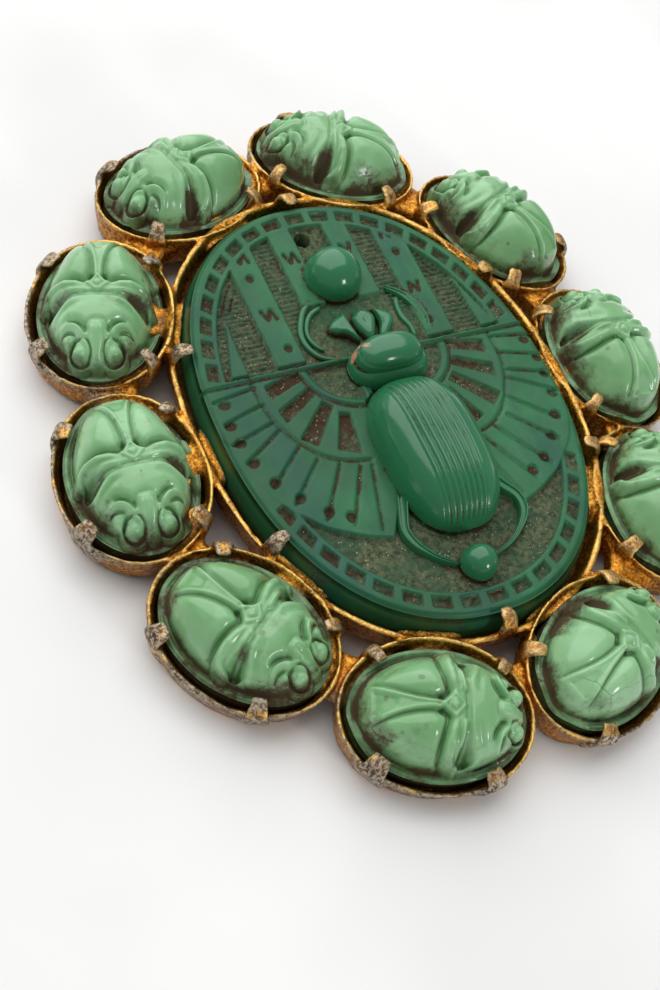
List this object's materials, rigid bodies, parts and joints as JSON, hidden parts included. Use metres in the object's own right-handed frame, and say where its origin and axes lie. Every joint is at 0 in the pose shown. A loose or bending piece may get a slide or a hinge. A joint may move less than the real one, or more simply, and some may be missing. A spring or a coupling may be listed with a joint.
{
  "type": "scarab brooch",
  "caption": "Oval brooch: a dark green moulded glass plaque with a winged beetle, ringed by light green glass scarabs in pronged gilt settings.",
  "frame": {"origin": "under the middle of the whole brooch, on the surface that it rests on, when it lies on its back", "axes": "+Z out of the face of the brooch, +Y along the long axis of the plaque towards its sun, +X to the right as seen from the front"},
  "size_m": [0.0556, 0.0648, 0.0099],
  "materials": {
    "gilt_metal": "antique gilt, worn to grey on the outer sides and prong tips, dark in the hollows",
    "pin_metal": "plain gilt, dulled",
    "plaque_glass": "opaque dark green moulded glass, glossy on the domes, stippled and brown in the sunk ground",
    "scarab_glass": "opaque light green moulded glass, glossy, brown grime in the creases"
  },
  "bodies": {
    "root": {"setting_frame": "gilt_metal", "centre_plaque": "plaque_glass", "pin": "pin_metal", "scarab_stone_01": "scarab_glass", "scarab_stone_02": "scarab_glass", "scarab_stone_03": "scarab_glass", "scarab_stone_04": "scarab_glass", "scarab_stone_05": "scarab_glass", "scarab_stone_06": "scarab_glass", "scarab_stone_07": "scarab_glass", "scarab_stone_08": "scarab_glass", "scarab_stone_09": "scarab_glass", "scarab_stone_10": "scarab_glass"}
  },
  "joints": []
}
